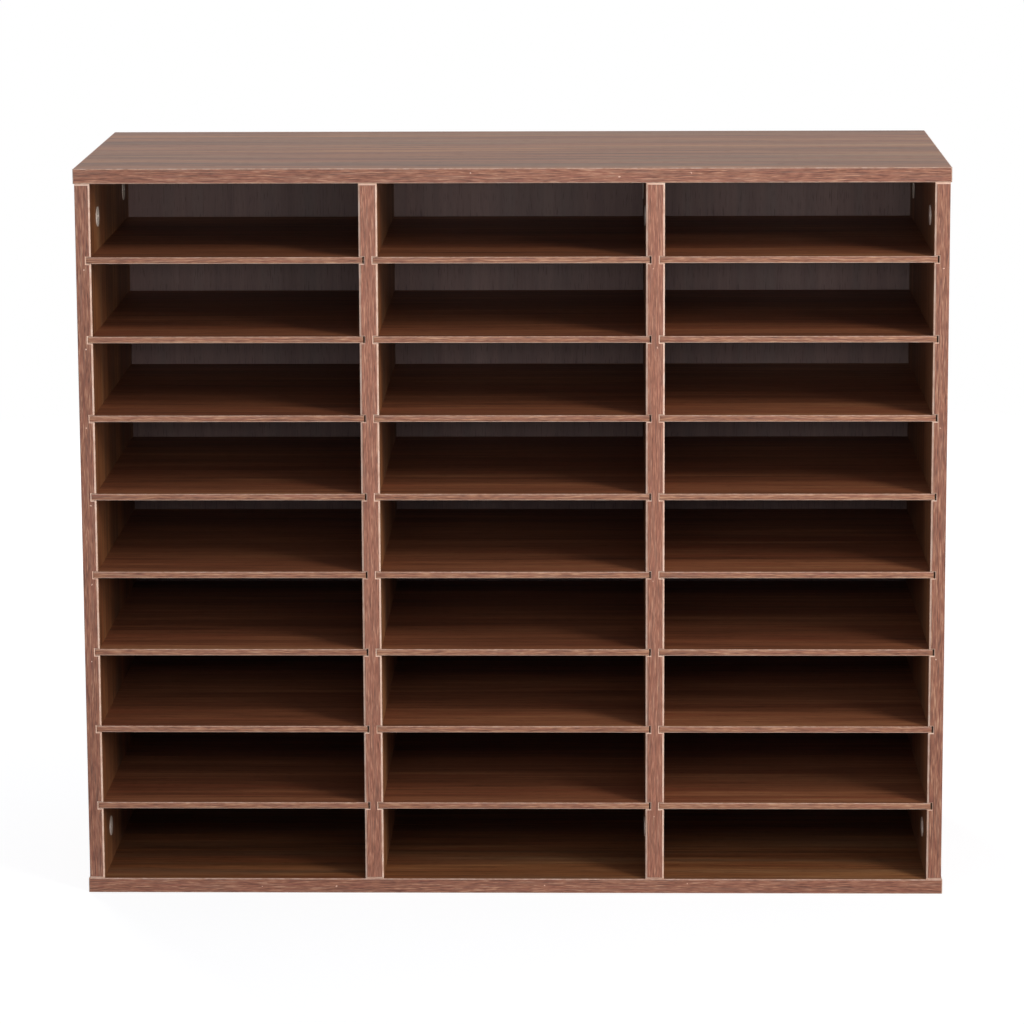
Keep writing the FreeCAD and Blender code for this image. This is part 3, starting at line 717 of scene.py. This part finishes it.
def nickTree():  # thin flakes of bare core, at a random share of the points
    tree, source = newTree("nicks", {
        "Geometry": "Geometry", "Share": "Float", "Seed": "Int", "Spread": "Vector", "Radius": "Float",
        "Top Share": "Float", "Sides": "Int", "Thickness": "Float", "Least Stretch": "Vector",
        "Most Stretch": "Vector", "Core": "Material"})
    points = addNode(tree, "GeometryNodeMeshToPoints", None, {"Mesh": source["Geometry"]})
    chance = addNode(tree, "FunctionNodeRandomValue", {"data_type": "BOOLEAN"},
                     {"Probability": source["Share"], "Seed": source["Seed"]})
    chosen = addNode(tree, "GeometryNodeSeparateGeometry", None,
                     {"Geometry": points.outputs[0], "Selection": socketOf(chance.outputs, "Value_003")})
    opposite = addNode(tree, "ShaderNodeVectorMath", {"operation": "SCALE", "Scale": -1.0},
                       {"Vector": source["Spread"]})
    drift = addNode(tree, "FunctionNodeRandomValue", {"data_type": "FLOAT_VECTOR"},
                    {"Min": opposite.outputs[0], "Max": source["Spread"], "Seed": source["Seed"]})
    strewn = addNode(tree, "GeometryNodeSetPosition", None,
                     {"Geometry": chosen.outputs["Selection"], "Offset": drift.outputs[0]})
    narrow = addNode(tree, "ShaderNodeMath", {"operation": "MULTIPLY"},
                     {"Value": source["Radius"], "Value_001": source["Top Share"]})
    flake = addNode(tree, "GeometryNodeMeshCone", None,
                    {"Vertices": source["Sides"], "Radius Top": narrow.outputs[0],
                     "Radius Bottom": source["Radius"], "Depth": source["Thickness"]})
    turn = addNode(tree, "FunctionNodeRandomValue",  # flat on the band, and turned any way
                   {"data_type": "FLOAT_VECTOR", "Min": (math.pi / 2, 0, 0),
                    "Max": (math.pi / 2, math.tau, 0)}, {"Seed": source["Seed"]})
    stretch = addNode(tree, "FunctionNodeRandomValue", {"data_type": "FLOAT_VECTOR"},
                      {"Min": source["Least Stretch"], "Max": source["Most Stretch"],
                       "Seed": source["Seed"]})
    placed = addNode(tree, "GeometryNodeInstanceOnPoints", None,
                     {"Points": strewn.outputs[0], "Instance": flake.outputs["Mesh"],
                      "Rotation": turn.outputs[0], "Scale": stretch.outputs[0]})
    real = addNode(tree, "GeometryNodeRealizeInstances", None, {"Geometry": placed.outputs[0]})
    finished = addNode(tree, "GeometryNodeSetMaterial", None,
                       {"Geometry": real.outputs[0], "Material": source["Core"]})
    addNode(tree, "NodeGroupOutput", None, {"Geometry": finished.outputs[0]})
    return tree


def nickPlaces(look):  # on the front bands: below each shelf groove of the uprights, and along both decks
    places = []
    leftShelves = [shelf for shelf in shelfNodes if shelf.startswith("left")]
    for upright in uprights:
        low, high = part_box(f"{upright}_front_band")
        for shelf in leftShelves:
            places.append(((low.x + high.x) / 2, low.y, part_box(shelf)[0].z - look["below"] * mm))
    pitch = look["deckPitch"] * mm
    for deck in decks:
        low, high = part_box(f"{deck}_front_band")
        for step in range(int((high.x - low.x) / pitch)):
            places.append((low.x + (step + 0.5) * pitch, low.y, (low.z + high.z) / 2))
    return places


def makeNicks(look):  # small knocks in the front bands
    start = bpy.data.meshes.new("nick_places")
    start.from_pydata(nickPlaces(look), [], [])
    mesh = grow(nickTree(), {
        "Share": look["share"], "Seed": look["seed"], "Spread": [reach * mm for reach in look["spread"]],
        "Radius": look["radius"] * mm, "Top Share": look["topShare"], "Sides": look["sides"],
        "Thickness": look["thickness"] * mm, "Least Stretch": look["leastStretch"],
        "Most Stretch": look["mostStretch"], "Core": cutEdge}, "edge_nicks", start)
    setPiece(mesh, "cabinet")
    print("nicks made:", len(mesh.polygons) // (look["sides"] + 2))


makeNicks(nickFinish)

camFinish = {"round": 0.25, "steps": 2}


def makeCamLocks(upright):  # die-cast, so the flange's rim and the cross recess are rounded
    node = f"{upright}_cam_locks"
    low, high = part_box(node)
    faceX = high.x if upright == "left_side" else low.x
    shape = ownShape(node)
    bevel(shape, sharpEdges(shape, lambda middle: near(middle.x, faceX)), camFinish["round"],
          camFinish["steps"])
    setPiece(meshFrom(shape, finishedName(node), [camMetal]), "cabinet", node)


for upright in uprights:
    makeCamLocks(upright)
print("cam locks made")

dowelFinish = {
    "flutes": 14,
    "fluteDepth": 0.25,
    "tip": 0.8,
    "tipScale": 0.73,  # of the radius, at the very end
}


def dowelTree():  # fluted rods with tapered tips, one along each line of the start mesh
    tree, source = newTree("fluted_dowels", {
        "Geometry": "Geometry", "Radius": "Float", "Root Radius": "Float", "Flutes": "Int",
        "Tip Start": "Float", "Tip Scale": "Float", "Wood": "Material"})
    axes = addNode(tree, "GeometryNodeMeshToCurve", None, {"Mesh": source["Geometry"]})
    section = addNode(tree, "GeometryNodeCurveStar", None,
                      {"Points": source["Flutes"], "Inner Radius": source["Root Radius"],
                       "Outer Radius": source["Radius"]})
    along = addNode(tree, "GeometryNodeSplineParameter")
    fromMiddle = addNode(tree, "ShaderNodeMath",
                         {"operation": "MULTIPLY_ADD", "Value_001": 2.0, "Value_002": -1.0},
                         {"Value": along.outputs["Factor"]})
    outness = addNode(tree, "ShaderNodeMath", {"operation": "ABSOLUTE"}, {"Value": fromMiddle.outputs[0]})
    taper = addNode(tree, "ShaderNodeMapRange", {"From Max": 1.0, "To Min": 1.0},
                    {"Value": outness.outputs[0], "From Min": source["Tip Start"],
                     "To Max": source["Tip Scale"]})
    rods = addNode(tree, "GeometryNodeCurveToMesh", {"Fill Caps": True},
                   {"Curve": axes.outputs[0], "Profile Curve": section.outputs["Curve"],
                    "Scale": taper.outputs["Result"]})
    real = addNode(tree, "GeometryNodeRealizeInstances", None, {"Geometry": rods.outputs[0]})
    finished = addNode(tree, "GeometryNodeSetMaterial", None,
                       {"Geometry": real.outputs[0], "Material": source["Wood"]})
    addNode(tree, "NodeGroupOutput", None, {"Geometry": finished.outputs[0]})
    return tree


def islandBoxes(nodeName):  # lowest and highest corner of each separate solid of a node
    shape = ownShape(nodeName)
    waiting = set(shape.verts)
    boxes = []
    while waiting:
        found = [waiting.pop()]
        for vert in found:
            linked = {edge.other_vert(vert) for edge in vert.link_edges} & waiting
            waiting -= linked
            found += linked
        places = [vert.co.copy() for vert in found]
        boxes.append((Vector(map(min, zip(*places))), Vector(map(max, zip(*places)))))
    shape.free()
    return sorted(boxes, key=lambda box: tuple(box[0]))


def makeDowels(deck, maker, look):
    node = f"{deck}_dowels"
    tip = look["tip"] * mm
    points, lines = [], []
    for low, high in islandBoxes(node):
        first = len(points)
        for z in (low.z, low.z + tip, high.z - tip, high.z):
            points.append(((low.x + high.x) / 2, (low.y + high.y) / 2, z))
        lines += [(first, first + 1), (first + 1, first + 2), (first + 2, first + 3)]
    radius = (high.x - low.x) / 2  # the dowels of a deck are all one size
    start = bpy.data.meshes.new(node + "_axes")
    start.from_pydata(points, lines, [])
    mesh = grow(maker, {
        "Radius": radius, "Root Radius": radius - look["fluteDepth"] * mm, "Flutes": look["flutes"],
        "Tip Start": 1 - 2 * tip / (high.z - low.z), "Tip Scale": look["tipScale"], "Wood": dowelWood},
        finishedName(node), start)
    setPiece(mesh, "cabinet", node)


dowelMaker = dowelTree()
for deck in decks:
    makeDowels(deck, dowelMaker, dowelFinish)
    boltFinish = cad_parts[f"{deck}_cam_bolts"].data.materials
    boltFinish.clear()
    boltFinish.append(boltMetal)
print("dowels and bolts made")

studio = {
    # turn to the right of the front and lift in degrees, distance and size in metres, power in watts;
    # gloss says whether the lamp shows in a sheen
    "lamps": {
        "key": {"turn": 45, "lift": 30, "distance": 3.4, "size": (0.9, 1.6), "power": 58, "gloss": False},
        "side": {"turn": 62, "lift": 4, "distance": 2.8, "size": (0.6, 0.6), "power": 5, "gloss": True},
        "front": {"turn": 6, "lift": 14, "distance": 1.7, "size": (1.6, 0.2), "power": 5.5, "gloss": True},
        "rear": {"turn": 205, "lift": 22, "distance": 3.0, "size": (1.4, 1.4), "power": 56, "gloss": False},
    },
    "ambient": 0.26,
    "ambientColour": "#d0e0ff",
    "backdropColour": "#ffffff",
    "floorSize": 40,  # metres, as the two radii are
    "floorColour": "#b8b7b5",
    "nearGlow": 1.9,  # mixed round the sorter with the floor's own darker paper, it comes out white
    "nearShare": 0.45,
    "nearRadius": 1.0,
    "farRadius": 2.4,
}


def addLamp(name, look):
    lamp = bpy.data.lights.new(name, "AREA")
    lamp.shape = "RECTANGLE"
    lamp.size, lamp.size_y = look["size"]
    lamp.energy = look["power"]
    turn, lift = math.radians(look["turn"]), math.radians(look["lift"])
    away = Vector((math.sin(turn) * math.cos(lift), -math.cos(turn) * math.cos(lift), math.sin(lift)))
    holder = bpy.data.objects.new(name, lamp)
    holder.location = (cadBox[0] + cadBox[1]) / 2 + away * look["distance"]
    holder.rotation_euler = away.to_track_quat("Z", "Y").to_euler()
    holder.visible_camera = False
    holder.visible_glossy = look["gloss"]
    scene.collection.objects.link(holder)


for lampName, lampLook in studio["lamps"].items():
    addLamp(lampName, lampLook)


def shownRays(tree):  # 1 for the rays that show the background: straight, mirrored or through glass
    path = addNode(tree, "ShaderNodeLightPath")
    straight = addNode(tree, "ShaderNodeMath", {"operation": "MAXIMUM"},
                       {"Value": path.outputs["Is Camera Ray"], "Value_001": path.outputs["Is Glossy Ray"]})
    anyShown = addNode(tree, "ShaderNodeMath", {"operation": "MAXIMUM"},
                       {"Value": straight.outputs[0], "Value_001": path.outputs["Is Transmission Ray"]})
    return anyShown.outputs[0]


def makeWorld():  # a weak even light, shown as white
    world = bpy.data.worlds.new("studio")
    scene.world = world
    world.use_nodes = True
    tree = world.node_tree
    tree.nodes.clear()
    soft = addNode(tree, "ShaderNodeBackground",
                   {"Color": linear(studio["ambientColour"]), "Strength": studio["ambient"]})
    backdrop = addNode(tree, "ShaderNodeBackground",
                       {"Color": linear(studio["backdropColour"]), "Strength": 1.0})
    mixed = addNode(tree, "ShaderNodeMixShader", None, {"Fac": shownRays(tree)})
    tree.links.new(soft.outputs[0], mixed.inputs[1])
    tree.links.new(backdrop.outputs[0], mixed.inputs[2])
    addNode(tree, "ShaderNodeOutputWorld", None, {"Surface": mixed.outputs[0]})


def makeFloor():  # a pale seamless floor: it shows white, and a little of the sorter's shadow stays on it
    half = studio["floorSize"] / 2
    mesh = bpy.data.meshes.new("floor")
    mesh.from_pydata([(-half, -half, 0), (half, -half, 0), (half, half, 0), (-half, half, 0)], [],
                     [(0, 1, 2, 3)])
    floor = bpy.data.objects.new("floor", mesh)
    scene.collection.objects.link(floor)
    material, tree, output, place = newMaterial("pale_floor")
    paper = addNode(tree, "ShaderNodeBsdfDiffuse", {"Color": linear(studio["floorColour"])})
    away = addNode(tree, "ShaderNodeVectorMath", {"operation": "LENGTH"}, {"Vector": place})
    span = {"From Min": studio["nearRadius"], "From Max": studio["farRadius"]}
    share = addNode(tree, "ShaderNodeMapRange", {**span, "To Min": studio["nearShare"]},
                    {"Value": away.outputs["Value"]})
    level = addNode(tree, "ShaderNodeMapRange", {**span, "To Min": studio["nearGlow"]},
                    {"Value": away.outputs["Value"]})
    glow = addNode(tree, "ShaderNodeEmission", {"Color": linear(studio["backdropColour"])},
                   {"Strength": level.outputs["Result"]})
    shown = addNode(tree, "ShaderNodeMath", {"operation": "MULTIPLY"},
                    {"Value": share.outputs["Result"], "Value_001": shownRays(tree)})
    seen = addNode(tree, "ShaderNodeMixShader", None, {"Fac": shown.outputs[0]})
    tree.links.new(paper.outputs[0], seen.inputs[1])
    tree.links.new(glow.outputs[0], seen.inputs[2])
    tree.links.new(seen.outputs[0], output.inputs["Surface"])
    mesh.materials.append(material)


makeWorld()
makeFloor()

cameraSet = {
    "place": (79.9, -3615.9, 1028.7),
    "pitch": 10.0,  # degrees below level
    "yaw": 1.328,  # degrees to the left
    "roll": 0.27,  # degrees clockwise
    "focal": 4084.9,  # in pixels of the picture
    "picture": 1024,
    "sensor": 36,
    "shift": -0.085,  # in picture widths
    "farthest": 100,  # metres that the camera sees
}


def addCamera(look):
    camera = bpy.data.objects.new("camera", bpy.data.cameras.new("camera"))
    scene.collection.objects.link(camera)
    camera.data.sensor_width = look["sensor"]
    camera.data.lens = look["focal"] / look["picture"] * look["sensor"]
    camera.data.shift_y = look["shift"]
    camera.data.clip_end = look["farthest"]
    turn = (Matrix.Rotation(math.radians(look["yaw"]), 4, "Z")
            @ Matrix.Rotation(math.radians(90 - look["pitch"]), 4, "X")
            @ Matrix.Rotation(math.radians(-look["roll"]), 4, "Z"))
    camera.matrix_world = Matrix.Translation(Vector(look["place"]) * mm) @ turn
    scene.camera = camera


addCamera(cameraSet)
scene.view_settings.view_transform = "Standard"
print("light, floor and camera set")
